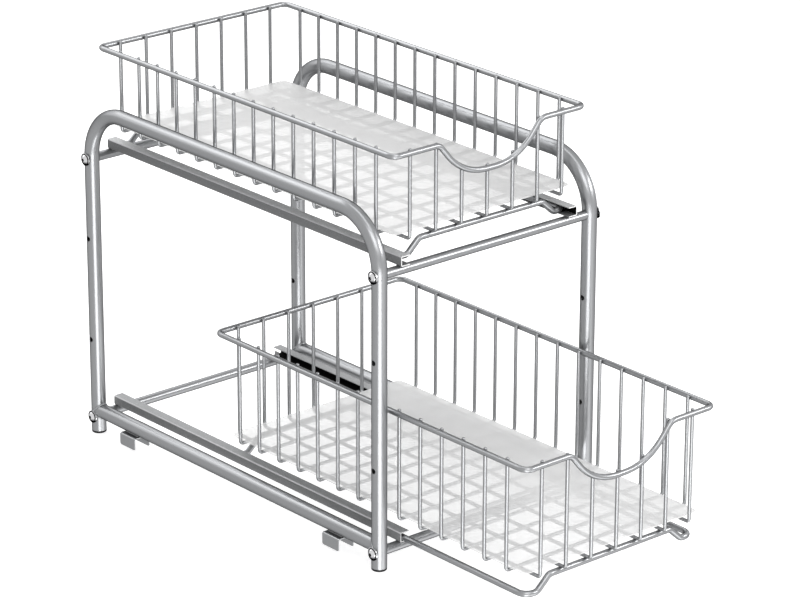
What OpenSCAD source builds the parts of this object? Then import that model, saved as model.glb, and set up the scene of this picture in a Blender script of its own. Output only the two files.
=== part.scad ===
// Two-tier pull-out cabinet basket.
// A frame of bent tube carries four channel rails, and two wire baskets slide in them.
// Millimetres. +Z is up, the baskets pull out towards -Y, and the floor is z = 0.
// The origin is the bottom centre of the whole object with its baskets as drawn.

/* [Frame] */
// Distance between the axes of the front and rear legs
leg_depth = 441; // [380:1:530]
// Distance between the axes of the left and right legs
leg_width = 263; // [220:1:320]
// Height of the top tubes' axes above the floor
top_tube_z = 348; // [300:1:420]
// Outside diameter of the side frame tube
tube_d = 15; // [13:0.5:18]
// Wall of the side frame tube
tube_wall = 1.2; // [0.8:0.1:1.6]
// Radius of the two upper bends, at the tube's axis
tube_bend_r = 52; // [40:1:65]
// Height of the bottom rails' axes
bottom_rail_z = 24; // [22:1:40]

/* [Foot caps] */
// Height of the cap below the tube's end
cap_lip_h = 2.5; // [1.5:0.5:4]
// Length of the plug inside the tube
cap_plug_h = 10; // [6:0.5:10]

/* [Crossbars and bolts] */
// Diameter of the crossbar rods
crossbar_d = 9.5; // [8:0.5:12]
// Height of the lower crossbars' axes
lower_crossbar_z = 18; // [18:1:24]
// Height of the upper crossbars' axes
upper_crossbar_z = 294; // [250:1:340]
// Distance from each bolt to the spare hole next to it
spare_hole_step = 84; // [60:1:110]
// Diameter of the bolt shanks
bolt_d = 5; // [4:0.5:6]
// Diameter of the bolt heads' flange
bolt_head_d = 13; // [11:0.5:15]
// Height of the bolt heads, flange and dome
bolt_head_h = 4; // [3:0.5:5]
// Depth of the thread in each crossbar end
thread_depth = 16; // [12:1:24]

/* [Rails] */
// Height of the channel
rail_h = 10; // [9.5:0.5:14]
// Width of the channel's flanges
rail_w = 10.5; // [9.5:0.5:14]
// Sheet thickness of the rails and stacking clips
sheet_t = 1; // [0.8:0.1:1.2]
// Gap between the legs' inner faces and the rails' webs
rail_inset = 14; // [10:0.5:20]
// How far a basket slides between its stops
full_travel = 250; // [150:5:280]

/* [Stacking clips] */
// Length of a clip along its tube
clip_l = 24; // [16:1:32]
// Height of a clip's tabs
clip_h = 12.5; // [8:0.5:14]
// Distance of the clips from the middle of the frame
clip_y = 160; // [120:1:180]

/* [Baskets] */
// Rim height of the upper basket above its bottom wires
upper_basket_depth = 81; // [60:1:120]
// Rim height of the lower basket above its bottom wires
lower_basket_depth = 109; // [70:1:140]
// Diameter of the rim wire
rim_d = 5.5; // [4.5:0.5:7]
// Diameter of the basket wires
wire_d = 3.5; // [2.5:0.5:4]
// Diameter of the runner wire
runner_d = 6; // [5:0.5:6.5]
// Number of wires from side to side
cross_wire_count = 14; // [8:1:18]
// Number of wires from front to rear
long_wire_count = 7; // [5:1:9]
// Depth of the hand scoop in the front rim
scoop_depth = 35; // [28:1:45]
// Thickness of the liner
liner_t = 1; // [0.5:0.1:1.5]

/* [Positions] */
// How far the upper basket is pulled out
upper_pull = 1; // [0:1:150]
// How far the lower basket is pulled out
lower_pull = 183.5; // [0:0.5:250]

/* [Hidden] */
$fn = 48;

steel = [0.72, 0.73, 0.75];
rail_steel = [0.55, 0.56, 0.58];
zinc = [0.85, 0.85, 0.87];
black = [0.08, 0.08, 0.08];
frosted = [0.9, 0.92, 0.94, 0.6];

// Clearances
side_gap = 3;       // rim to the legs' inner faces
end_gap = 1.75;     // rim to the outer faces of the rear legs, basket shut
slide_gap = 0.3;    // runner to the rail's bottom flange
web_gap = 0.4;      // runner to the rail's web
stop_gap = 0.5;     // runner to a stop tab at the end of its travel
hole_gap = 0.2;     // bolt shank to its holes in the legs, at the radius
thread_gap = 0.05;  // bolt shank to the crossbar's thread, at the radius
thread_end_gap = 2; // bolt's end to the bottom of its thread
plug_gap = 0.02;    // foot cap's ribs to the tube's bore, at the radius
liner_gap = 0.25;   // liner to the bends of the cross wires
liner_end_gap = 2;  // liner to the front and rear walls
clip_gap = 1;       // stacking clip to the tube it straddles
hair = 0.01;        // step between a wire's straights and bends, so that they join cleanly

// Frame
leg_x = leg_width / 2;
leg_y = leg_depth / 2;
tube_r = tube_d / 2;
bore_d = tube_d - 2 * tube_wall;
leg_inner_x = leg_x - tube_r;
spare_hole_z = [lower_crossbar_z + spare_hole_step, upper_crossbar_z - spare_hole_step];
hole_z = concat([lower_crossbar_z, upper_crossbar_z], spare_hole_z);

// Foot caps
cap_edge_r = 1.2;
cap_rib_h = 1.5;
cap_rib_out = 0.6;

// Bolts
bolt_flange_h = 1.2;
bolt_l = tube_d + thread_depth - thread_end_gap;
socket_af = 3;
socket_depth = 2;

// Rails
crossbar_r = crossbar_d / 2;
rail_bend_r = 1.8;
front_overhang = 5.5;
rear_overhang = 2.5;
rail_x = leg_inner_x - rail_inset;
rail_front = leg_y + front_overhang;
rail_rear = leg_y + rear_overhang;
rail_inner_x = rail_x - rail_w;
tab_l = 7;
tab_h = 4.5;

// Basket outline, on the axis of the rim wire
rim_r = rim_d / 2;
wire_r = wire_d / 2;
basket_x = leg_inner_x - side_gap - rim_r;
basket_y = leg_y + tube_r - end_gap - rim_r;
rim_corner_r = 8;
tip_rise = 3;
wall_inset = rim_r + wire_r;
wire_bend_r = 3.5;
end_margin = 29.8;
side_margin = 23.5;
cross_pitch = 2 * (basket_y - end_margin) / (cross_wire_count - 1);
long_pitch = 2 * (basket_x - side_margin) / (long_wire_count - 1);

// Scoop: a flat middle, and on each side a wide arc, a straight slope and a shoulder
scoop_flat = 10;
scoop_r = 62;
shoulder_r = 12;
scoop_angle = 50;
scoop_arc_drop = (scoop_r + shoulder_r) * (1 - cos(scoop_angle));
scoop_slope = (scoop_depth - scoop_arc_drop) / sin(scoop_angle);
scoop_arcs_run = (scoop_r + shoulder_r) * sin(scoop_angle);
scoop_half = scoop_flat / 2 + scoop_arcs_run + scoop_slope * cos(scoop_angle);

// Runner loop, measured from the basket's middle and from the crossbars' axes
runner_r = runner_d / 2;
runner_x = rail_x - sheet_t - web_gap - runner_r;
runner_setback = 12;
runner_y = basket_y - runner_setback;
runner_z = crossbar_r + sheet_t + slide_gap + runner_r;
runner_corner_r = 10;
runner_bend_r = 8;
runner_slope_angle = 42;
raised_z = 22.4;
runner_rise = raised_z - runner_z;
bend_drop = 2 * runner_bend_r * (1 - cos(runner_slope_angle));
runner_slope = (runner_rise - bend_drop) / sin(runner_slope_angle);
slope_run = runner_slope * cos(runner_slope_angle) + 2 * runner_bend_r * sin(runner_slope_angle);
knee_gap = 1;
raised_half = runner_x - runner_corner_r - knee_gap - slope_run;

// Wire layers, measured from the crossbars' axes
long_wire_z = raised_z + runner_r + wire_r;
cross_wire_z = long_wire_z + wire_d;
liner_z = cross_wire_z + wire_r;
liner_x = basket_x - wall_inset - wire_bend_r - liner_gap;
liner_y = basket_y - wall_inset - wire_r - liner_end_gap;
liner_corner_r = 6;

// Stop tabs: where the corners of the runner meet the tabs on the rails' inner edge
corner_x = runner_x - runner_corner_r;
corner_y = runner_y - runner_corner_r;
corner_outer_r = runner_corner_r + runner_r;
corner_inner_r = runner_corner_r - runner_r;
tab_near = rail_inner_x - corner_x;
tab_far = tab_near + sheet_t;
rear_reach = sqrt(corner_outer_r * corner_outer_r - tab_near * tab_near);
front_reach = sqrt(corner_inner_r * corner_inner_r - tab_far * tab_far);
rear_tab_y = corner_y + rear_reach + stop_gap;
front_tab_y = corner_y + front_reach - full_travel - stop_gap - tab_l;

// The lower basket sticks out at the front, so the frame stands behind the origin
rear_reach_y = leg_y + tube_r;
front_reach_y = max(rear_reach_y, max(upper_pull, lower_pull) + basket_y + rim_r);
frame_y = (front_reach_y - rear_reach_y) / 2;

LEFT = -1;
RIGHT = 1;
FRONT = -1;
REAR = 1;

// ---------- bent wire and tube ----------

// A round rod of diameter d along +Z from the origin, bent as its steps say.
// Each step is [straight length, bend radius, bend angle, roll before the bend];
// the bend turns the heading from +Z towards the rolled +X.
// A straight reaches lap into its bends, which are thinner by as much all round.
module bent(d, steps, lap = hair, i = 0) {
    length = steps[i][0];
    bend_r = steps[i][1];
    angle = steps[i][2];
    roll = steps[i][3];
    reach_back = i > 0 ? lap : 0;
    reach_on = angle > 0 ? lap : 0;
    if (length > 0)
        translate([0, 0, -reach_back]) cylinder(h = reach_back + length + reach_on, d = d);
    if (angle > 0)
        translate([0, 0, length]) rotate([0, 0, roll]) {
            translate([bend_r, 0, 0]) rotate([90, 0, 180])
                rotate_extrude(angle = angle) translate([bend_r, 0]) circle(d = d - 2 * lap);
            if (i + 1 < len(steps))
                translate([bend_r, 0, 0]) rotate([0, angle, 0]) translate([-bend_r, 0, 0])
                    bent(d, steps, lap, i + 1);
        }
}

// A U of wire in the YZ plane with domed tips: down, along +Y, and up again.
module u_wire(front_h, span, rear_h) {
    steps = [
        [front_h - wire_bend_r, wire_bend_r, 90, -90],
        [span - 2 * wire_bend_r, wire_bend_r, 90, 0],
        [rear_h - wire_bend_r, 0, 0, 0]
    ];
    translate([0, -span / 2, front_h]) {
        rotate([180, 0, 0]) bent(wire_d, steps);
        sphere(d = wire_d - 2 * hair);
    }
    translate([0, span / 2, rear_h]) sphere(d = wire_d - 2 * hair);
}

module mirror_copy(axis) {
    children();
    mirror(axis) children();
}

module on_frame() {
    translate([0, frame_y, 0]) children();
}

// A basket's own frame: its middle, at the height of its crossbars' axes.
module on_basket(pull, crossbar_z) {
    translate([0, frame_y - pull, crossbar_z]) children();
}

// ---------- frame ----------

module leg_blank(side, end, d) {
    translate([side * leg_x, end * leg_y, 0]) cylinder(h = top_tube_z, d = d);
}

module side_tube(side) {
    leg_l = top_tube_z - tube_bend_r - cap_lip_h;
    steps = [
        [leg_l, tube_bend_r, 90, 90],
        [leg_depth - 2 * tube_bend_r, tube_bend_r, 90, 0],
        [leg_l, 0, 0, 0]
    ];
    color(steel) on_frame() difference() {
        translate([side * leg_x, -leg_y, cap_lip_h]) bent(tube_d, steps, 0);
        translate([side * leg_x, -leg_y, cap_lip_h]) bent(bore_d, steps, 0);
        for (end = [FRONT, REAR], z = hole_z)
            translate([side * leg_x, end * leg_y, z]) rotate([0, 90, 0])
                cylinder(h = 2 * tube_d, r = bolt_d / 2 + hole_gap, center = true);
    }
}

// Straight tube coped to the legs; a hair thinner than they are, so the copes stay closed.
module bottom_rail(side) {
    color(steel) on_frame() difference() {
        translate([side * leg_x, 0, bottom_rail_z]) rotate([90, 0, 0])
            cylinder(h = leg_depth, d = tube_d - 2 * hair, center = true);
        translate([side * leg_x, 0, bottom_rail_z]) rotate([90, 0, 0])
            cylinder(h = leg_depth, d = bore_d, center = true);
        leg_blank(side, FRONT, tube_d);
        leg_blank(side, REAR, tube_d);
    }
}

// Turned plug: a lip the width of the tube with a rounded foot, and two ribs in the bore.
module foot_cap(side, end) {
    rib_r = bore_d / 2 - plug_gap;
    core_r = rib_r - cap_rib_out;
    top = cap_lip_h + cap_plug_h;
    color(black) on_frame() translate([side * leg_x, end * leg_y, 0]) rotate_extrude() {
        difference() {
            square([tube_r, cap_lip_h]);
            translate([tube_r - cap_edge_r, 0]) square(cap_edge_r);
        }
        intersection() {
            translate([tube_r - cap_edge_r, cap_edge_r]) circle(r = cap_edge_r);
            translate([tube_r - cap_edge_r, 0]) square(cap_edge_r);
        }
        translate([0, cap_lip_h]) square([core_r, cap_plug_h]);
        for (z = [cap_lip_h + cap_rib_h, top - 2 * cap_rib_h])
            translate([0, z]) square([rib_r, cap_rib_h]);
    }
}

// Solid rod, coped to the legs, with a threaded hole in each end.
module crossbar(end, z) {
    color(steel) on_frame() difference() {
        translate([0, end * leg_y, z]) rotate([0, 90, 0])
            cylinder(h = leg_width, d = crossbar_d, center = true);
        leg_blank(LEFT, end, tube_d);
        leg_blank(RIGHT, end, tube_d);
        for (side = [LEFT, RIGHT])
            translate([side * leg_inner_x, end * leg_y, z]) rotate([0, 90, 0])
                cylinder(h = 2 * thread_depth, r = bolt_d / 2 + thread_gap, center = true);
    }
}

// Flanged dome-head bolt along +Z, its head's seat at z = 0 and its dome below.
module bolt() {
    dome_h = bolt_head_h - bolt_flange_h;
    dome_base_r = bolt_head_d / 2 - 1;
    dome_r = (dome_base_r * dome_base_r + dome_h * dome_h) / (2 * dome_h);
    cylinder(h = bolt_l, d = bolt_d);
    difference() {
        union() {
            translate([0, 0, -bolt_flange_h]) cylinder(h = bolt_flange_h, d = bolt_head_d);
            intersection() {
                translate([0, 0, dome_r - bolt_head_h]) sphere(r = dome_r);
                translate([0, 0, -bolt_head_h]) cylinder(h = dome_h, r = dome_base_r);
            }
        }
        translate([0, 0, -bolt_head_h])
            cylinder(h = socket_depth, d = socket_af / cos(30), $fn = 6);
    }
}

module crossbar_bolts(side) {
    color(zinc) on_frame()
        for (end = [FRONT, REAR], z = [lower_crossbar_z, upper_crossbar_z])
            translate([side * (leg_x + tube_r), end * leg_y, z]) rotate([0, -side * 90, 0]) bolt();
}

// ---------- rails ----------

module rounded_channel(w, h, r) {
    translate([r, 0]) square([w - r, h]);
    translate([0, r]) square([w - r, h - 2 * r]);
    for (y = [r, h - r])
        translate([r, y]) circle(r = r);
}

// Channel section: web on the Y axis, flanges towards +X.
module channel_section() {
    difference() {
        rounded_channel(rail_w, rail_h, rail_bend_r);
        translate([sheet_t, sheet_t])
            rounded_channel(rail_w, rail_h - 2 * sheet_t, rail_bend_r - sheet_t);
    }
}

module stop_tab(y) {
    translate([rail_w - sheet_t, y, 0]) cube([sheet_t, tab_l, tab_h + sheet_t]);
}

// Channel rail on top of the crossbars, open to the inside, with two tabs that stop the runner.
module rail(side, crossbar_z) {
    color(rail_steel) on_frame() translate([0, 0, crossbar_z + crossbar_r])
        mirror([side == RIGHT ? 1 : 0, 0, 0]) translate([-rail_x, 0, 0]) {
            translate([0, rail_rear, 0]) rotate([90, 0, 0])
                linear_extrude(rail_front + rail_rear) channel_section();
            stop_tab(rear_tab_y);
            stop_tab(front_tab_y);
        }
}

// ---------- stacking clips ----------

// Saddle of sheet under a bottom rail, which straddles the top tube of a unit below.
module stacking_clip(side, end) {
    inner_w = tube_d + 2 * clip_gap;
    outer_w = inner_w + 2 * sheet_t;
    top_z = bottom_rail_z - tube_r;
    color(rail_steel) on_frame() translate([side * leg_x, end * clip_y, top_z])
        intersection() {
            translate([0, clip_l / 2, 0]) rotate([90, 0, 0]) linear_extrude(clip_l)
                rotate(-90) translate([0, -outer_w / 2])
                    difference() {
                        rounded_channel(clip_h, outer_w, rail_bend_r);
                        translate([sheet_t, sheet_t])
                            rounded_channel(clip_h, inner_w, rail_bend_r - sheet_t);
                    }
            translate([-outer_w / 2, -clip_l / 2, 0]) rotate([90, 0, 90])
                linear_extrude(outer_w) tab_outline();
        }
}

// Outline of a clip's tabs: rounded lower corners.
module tab_outline() {
    r = 2;
    translate([0, -clip_h + r]) square([clip_l, clip_h - r]);
    translate([r, -clip_h]) square([clip_l - 2 * r, r]);
    for (x = [r, clip_l - r])
        translate([x, -clip_h + r]) circle(r = r);
}

// ---------- baskets ----------

// How far the front rim dips at a distance x from the middle.
function scoop_drop(x) =
    let (flat_x = scoop_flat / 2)
    let (arc_x = flat_x + scoop_r * sin(scoop_angle))
    let (slope_x = scoop_half - shoulder_r * sin(scoop_angle))
    x <= flat_x ? scoop_depth
    : x <= arc_x ? scoop_depth - scoop_r + sqrt(scoop_r * scoop_r - pow(x - flat_x, 2))
    : x <= slope_x ? shoulder_r * (1 - cos(scoop_angle)) + (slope_x - x) * tan(scoop_angle)
    : x <= scoop_half ? shoulder_r - sqrt(shoulder_r * shoulder_r - pow(scoop_half - x, 2))
    : 0;

function cross_wire_y(i) = -basket_y + end_margin + i * cross_pitch;
function long_wire_x(i) = -basket_x + side_margin + i * long_pitch;

// Rim: one closed ring of wire. Two mirrored halves run from the middle of the rear to
// the bottom of the scoop, and a short straight joins them there.
module basket_rim(pull, crossbar_z, depth) {
    steps = [
        [basket_x - rim_corner_r, rim_corner_r, 90, -90],
        [2 * (basket_y - rim_corner_r), rim_corner_r, 90, 0],
        [basket_x - rim_corner_r - scoop_half, shoulder_r, scoop_angle, 90],
        [scoop_slope, scoop_r, scoop_angle, 180]
    ];
    color(steel) on_basket(pull, crossbar_z) translate([0, 0, cross_wire_z + depth]) {
        mirror_copy([1, 0, 0])
            translate([0, basket_y, 0]) rotate([0, 90, 0]) bent(rim_d, steps);
        translate([0, -basket_y, -scoop_depth]) rotate([0, 90, 0])
            cylinder(h = scoop_flat + 2 * hair, d = rim_d, center = true);
    }
}

// Wires from side to side, welded inside the rim.
module cross_wires(pull, crossbar_z, depth) {
    wall_h = depth + tip_rise - wire_r;
    color(steel) on_basket(pull, crossbar_z)
        for (i = [0 : cross_wire_count - 1])
            translate([0, cross_wire_y(i), cross_wire_z]) rotate([0, 0, 90])
                u_wire(wall_h, 2 * (basket_x - wall_inset), wall_h);
}

// Wires from front to rear, below the cross wires; their front tips follow the scoop.
module long_wires(pull, crossbar_z, depth) {
    wall_h = depth + wire_d + tip_rise - wire_r;
    color(steel) on_basket(pull, crossbar_z)
        for (i = [0 : long_wire_count - 1])
            let (x = long_wire_x(i))
                translate([x, 0, long_wire_z])
                    u_wire(wall_h - scoop_drop(abs(x)), 2 * (basket_y - wall_inset), wall_h);
}

// Runner: one closed loop. Its sides lie in the rails, and its front and rear rise between
// them to carry the basket.
module basket_runner(pull, crossbar_z) {
    steps = [
        [raised_half, runner_bend_r, runner_slope_angle, 0],
        [runner_slope, runner_bend_r, runner_slope_angle, 180],
        [knee_gap, runner_corner_r, 90, -90]
    ];
    color(steel) on_basket(pull, crossbar_z) {
        mirror_copy([1, 0, 0]) mirror_copy([0, 1, 0])
            translate([0, -runner_y, raised_z]) rotate([0, 90, 0]) bent(runner_d, steps);
        for (side = [LEFT, RIGHT])
            translate([side * runner_x, 0, runner_z]) rotate([90, 0, 0])
                cylinder(h = 2 * (corner_y + hair), d = runner_d, center = true);
    }
}

// Liner: a flat sheet with rounded corners on the cross wires.
module basket_liner(pull, crossbar_z) {
    color(frosted) on_basket(pull, crossbar_z) translate([0, 0, liner_z])
        linear_extrude(liner_t) {
            square([2 * liner_x, 2 * (liner_y - liner_corner_r)], center = true);
            square([2 * (liner_x - liner_corner_r), 2 * liner_y], center = true);
            for (sx = [LEFT, RIGHT], sy = [FRONT, REAR])
                translate([sx * (liner_x - liner_corner_r), sy * (liner_y - liner_corner_r)])
                    circle(r = liner_corner_r);
        }
}

side_tube(LEFT);  // left_side_tube
side_tube(RIGHT);  // right_side_tube
bottom_rail(LEFT);  // left_bottom_rail
bottom_rail(RIGHT);  // right_bottom_rail
foot_cap(LEFT, FRONT);  // front_left_foot_cap
foot_cap(RIGHT, FRONT);  // front_right_foot_cap
foot_cap(LEFT, REAR);  // rear_left_foot_cap
foot_cap(RIGHT, REAR);  // rear_right_foot_cap
crossbar(FRONT, upper_crossbar_z);  // upper_front_crossbar
crossbar(REAR, upper_crossbar_z);  // upper_rear_crossbar
crossbar(FRONT, lower_crossbar_z);  // lower_front_crossbar
crossbar(REAR, lower_crossbar_z);  // lower_rear_crossbar
crossbar_bolts(LEFT);  // left_crossbar_bolts
crossbar_bolts(RIGHT);  // right_crossbar_bolts
rail(LEFT, upper_crossbar_z);  // upper_left_rail
rail(RIGHT, upper_crossbar_z);  // upper_right_rail
rail(LEFT, lower_crossbar_z);  // lower_left_rail
rail(RIGHT, lower_crossbar_z);  // lower_right_rail
stacking_clip(LEFT, FRONT);  // front_left_stacking_clip
stacking_clip(RIGHT, FRONT);  // front_right_stacking_clip
stacking_clip(LEFT, REAR);  // rear_left_stacking_clip
stacking_clip(RIGHT, REAR);  // rear_right_stacking_clip
basket_rim(upper_pull, upper_crossbar_z, upper_basket_depth);  // upper_basket_rim
cross_wires(upper_pull, upper_crossbar_z, upper_basket_depth);  // upper_basket_cross_wires
long_wires(upper_pull, upper_crossbar_z, upper_basket_depth);  // upper_basket_long_wires
basket_runner(upper_pull, upper_crossbar_z);  // upper_basket_runner
basket_liner(upper_pull, upper_crossbar_z);  // upper_basket_liner
basket_rim(lower_pull, lower_crossbar_z, lower_basket_depth);  // lower_basket_rim
cross_wires(lower_pull, lower_crossbar_z, lower_basket_depth);  // lower_basket_cross_wires
long_wires(lower_pull, lower_crossbar_z, lower_basket_depth);  // lower_basket_long_wires
basket_runner(lower_pull, lower_crossbar_z);  // lower_basket_runner
basket_liner(lower_pull, lower_crossbar_z);  // lower_basket_liner
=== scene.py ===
"""Pull-out cabinet basket: finishes, weld seams, liners, studio and camera.

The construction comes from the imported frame, in metres: +Z is up, the baskets
pull out towards -Y, and the floor is z = 0.
"""
import logging
import math
from dataclasses import dataclass, replace
from enum import Enum

import bpy
from mathutils import Matrix, Vector
from mathutils.bvhtree import BVHTree


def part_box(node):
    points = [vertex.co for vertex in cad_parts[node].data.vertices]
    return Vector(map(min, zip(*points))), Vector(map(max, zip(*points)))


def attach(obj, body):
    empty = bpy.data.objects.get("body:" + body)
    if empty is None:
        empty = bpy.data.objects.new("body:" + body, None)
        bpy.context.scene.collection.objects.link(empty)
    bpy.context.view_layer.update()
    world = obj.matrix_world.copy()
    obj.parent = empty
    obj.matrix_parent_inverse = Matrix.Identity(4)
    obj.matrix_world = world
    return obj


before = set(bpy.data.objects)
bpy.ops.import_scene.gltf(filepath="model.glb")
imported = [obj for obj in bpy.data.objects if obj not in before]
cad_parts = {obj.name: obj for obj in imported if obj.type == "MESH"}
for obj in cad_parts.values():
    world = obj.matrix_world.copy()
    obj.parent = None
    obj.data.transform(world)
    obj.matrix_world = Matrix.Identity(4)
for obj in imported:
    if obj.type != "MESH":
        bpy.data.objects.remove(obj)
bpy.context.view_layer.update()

MM = 0.001
NODES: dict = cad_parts
COLUMN_WIDTH, ROW_HEIGHT = 220, 200
WHITE = (1.0, 1.0, 1.0, 1.0)
log = logging.getLogger("cabinet_basket")

Colour = tuple[float, float, float]
Edges = list[tuple[int, int]]
Place = tuple[int, int]
Pair = tuple[float, float]
Size = tuple[float, float, float]
Material = bpy.types.Material
Node = bpy.types.Node
Socket = bpy.types.NodeSocket
Tree = bpy.types.NodeTree


class Side(Enum):
    """Left or right of the object, as the sign of X."""

    LEFT = -1
    RIGHT = 1


class End(Enum):
    """Front or rear of the object, as the sign of Y."""

    FRONT = -1
    REAR = 1


# ---------- node helpers ----------


def feed(tree: Tree, node: Node, inputs: dict) -> None:
    """Links or sets inputs of a node.

    Args:
        tree: The node's tree.
        node: The node.
        inputs: A socket to link or a constant for each input, by name or index.
    """
    for key, value in inputs.items():
        if isinstance(value, Socket):
            tree.links.new(value, node.inputs[key])
        else:
            node.inputs[key].default_value = value


def add_node(tree: Tree, kind: str, place: Place, inputs: dict | None = None,
             **values: object) -> Node:
    """Adds a node to a tree.

    Args:
        tree: The node tree.
        kind: The node's type name.
        place: Column and row in the node editor.
        inputs: A socket to link or a constant for each input, by name or index.
        **values: Properties of the node by name, set before its inputs.

    Returns:
        The new node.
    """
    node = tree.nodes.new(kind)
    node.location = (place[0] * COLUMN_WIDTH, place[1] * ROW_HEIGHT)
    for name, value in values.items():
        setattr(node, name, value)
    feed(tree, node, inputs or {})
    return node


def maths(tree: Tree, operation: str, place: Place, *values: Socket | float) -> Socket:
    """Adds a Math node.

    Args:
        tree: The node tree.
        operation: The node's operation.
        place: Column and row in the node editor.
        *values: A socket or number for each input, in order.

    Returns:
        The result.
    """
    inputs = dict(enumerate(values))
    return add_node(tree, "ShaderNodeMath", place, inputs, operation=operation).outputs[0]


def band_mask(tree: Tree, value: Socket, limits: Pair, place: Place) -> Socket:
    """Makes a mask that is 1 where a value lies between two limits.

    Args:
        tree: The material's tree.
        value: The socket that is tested.
        limits: The two limits, in either order.
        place: Column and row in the node editor.

    Returns:
        The mask.
    """
    low, high = sorted(limits)
    return maths(tree, "COMPARE", place, value, (low + high) / 2, (high - low) / 2)


def opaque(colour: Colour) -> tuple[float, float, float, float]:
    """Adds an alpha of 1 to a colour.

    Args:
        colour: Red, green and blue.

    Returns:
        Red, green, blue and alpha.
    """
    return (*colour, 1.0)


def mix_colours(tree: Tree, place: Place, mask: Socket, under: Socket | tuple,
                over: Socket | tuple) -> Socket:
    """Lays one colour over another.

    Args:
        tree: The material's tree.
        place: Column and row in the node editor.
        mask: How much of the upper colour shows.
        under: The lower colour, as a socket or four numbers.
        over: The upper colour, as a socket or four numbers.

    Returns:
        The mixed colour.
    """
    inputs = {"Factor": mask, "A": under, "B": over}
    return add_node(tree, "ShaderNodeMix", place, inputs, data_type="RGBA").outputs["Result"]


def object_xyz(tree: Tree, place: Place) -> tuple[Socket, Socket, Socket]:
    """Reads where on the object a point is.

    Args:
        tree: The material's tree.
        place: Column and row of the first node.

    Returns:
        X, Y and Z of the point.
    """
    point = add_node(tree, "ShaderNodeTexCoord", place).outputs["Object"]
    parts = add_node(tree, "ShaderNodeSeparateXYZ", (place[0] + 1, place[1]), {"Vector": point})
    return parts.outputs["X"], parts.outputs["Y"], parts.outputs["Z"]


def shown_rays(tree: Tree, place: Place) -> tuple[Node, Socket]:
    """Tells the rays that show a thing from those that carry its light.

    Args:
        tree: The material's or world's tree.
        place: Column and row of the first node.

    Returns:
        The Light Path node, and a mask that is 1 for camera, glossy and transmission rays.
    """
    column, row = place
    rays = add_node(tree, "ShaderNodeLightPath", place)
    shown = rays.outputs["Is Camera Ray"]
    for step, kind in enumerate(("Is Glossy Ray", "Is Transmission Ray"), 1):
        shown = maths(tree, "MAXIMUM", (column + step, row), shown, rays.outputs[kind])
    return rays, shown


def new_material(name: str) -> tuple[Material, Tree, Node]:
    """Makes a material that holds a Principled BSDF and its output.

    Args:
        name: The material's name.

    Returns:
        The material, its node tree and the Principled BSDF.
    """
    material = bpy.data.materials.new(name)
    material.use_nodes = True
    tree = material.node_tree
    tree.nodes.clear()
    shader = add_node(tree, "ShaderNodeBsdfPrincipled", (3, 0))
    add_node(tree, "ShaderNodeOutputMaterial", (5, 0), {"Surface": shader.outputs["BSDF"]})
    return material, tree, shader


def group_socket(tree: Tree, name: str, kind: str, is_output: bool,
                 default: object = None) -> None:
    """Gives a node group one named input or output.

    Args:
        tree: The group's tree.
        name: The socket's name.
        kind: Float, Vector, Color, Int, Geometry or Material.
        is_output: True for an output.
        default: The value the socket starts with, if any.
    """
    in_out = "OUTPUT" if is_output else "INPUT"
    socket = tree.interface.new_socket(name=name, in_out=in_out, socket_type=f"NodeSocket{kind}")
    if default is not None:
        socket.default_value = default


def grain_group() -> Tree:
    """Builds the grain of a sprayed or moulded surface, once for every material.

    Its inputs are the grain's size in metres and the strength of each effect. It puts out a
    colour, a roughness and a height.

    Returns:
        The shader node group.
    """
    name = "surface_grain"
    if name in bpy.data.node_groups:
        return bpy.data.node_groups[name]
    clouds_per_grain, middle_shade = 0.12, 0.5
    flake_limits = {"From Min": 0.62, "From Max": 1.0}
    tree = bpy.data.node_groups.new(name, "ShaderNodeTree")
    group_socket(tree, "Colour", "Color", False, (0.5, 0.5, 0.5, 1.0))
    for amount, default in (("Roughness", 0.4), ("Grain Size", 0.6 * MM), ("Mottle", 0.05),
                            ("Flake", 0.1), ("Gloss Change", 0.05)):
        group_socket(tree, amount, "Float", False, default)
    group_socket(tree, "Colour", "Color", True)
    group_socket(tree, "Roughness", "Float", True)
    group_socket(tree, "Height", "Float", True)

    given = add_node(tree, "NodeGroupInput", (-4, 0)).outputs
    point = add_node(tree, "ShaderNodeTexCoord", (-4, 2)).outputs["Object"]
    per_metre = maths(tree, "DIVIDE", (-3, -1), 1.0, given["Grain Size"])
    cloud_scale = maths(tree, "MULTIPLY", (-2, -2), per_metre, clouds_per_grain)
    grain = add_node(tree, "ShaderNodeTexNoise", (-1, 1),
                     {"Vector": point, "Scale": per_metre, "Detail": 2.0})
    clouds = add_node(tree, "ShaderNodeTexNoise", (-1, -1),
                      {"Vector": point, "Scale": cloud_scale, "Detail": 3.0})
    flakes = add_node(tree, "ShaderNodeTexVoronoi", (-1, 3), {"Vector": point, "Scale": per_metre})

    flake_mask = add_node(tree, "ShaderNodeMapRange", (0, 3),
                          {"Value": flakes.outputs["Color"], **flake_limits}).outputs["Result"]
    shade = maths(tree, "SUBTRACT", (0, -1), clouds.outputs["Fac"], middle_shade)
    mottle = maths(tree, "MULTIPLY", (1, -1), shade, given["Mottle"])
    sparkle = maths(tree, "MULTIPLY", (1, 3), flake_mask, given["Flake"])
    change = maths(tree, "ADD", (2, 1), mottle, sparkle)
    factor = maths(tree, "ADD", (3, 1), change, 1.0)
    colour = add_node(tree, "ShaderNodeVectorMath", (4, 1),
                      {0: given["Colour"], "Scale": factor}, operation="SCALE")
    gloss = maths(tree, "MULTIPLY_ADD", (1, -3), shade, given["Gloss Change"], given["Roughness"])
    height = maths(tree, "ADD", (2, -3), grain.outputs["Fac"], clouds.outputs["Fac"])
    add_node(tree, "NodeGroupOutput", (5, 0),
             {"Colour": colour.outputs["Vector"], "Roughness": gloss, "Height": height})
    return tree


# ---------- finishes ----------


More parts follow.
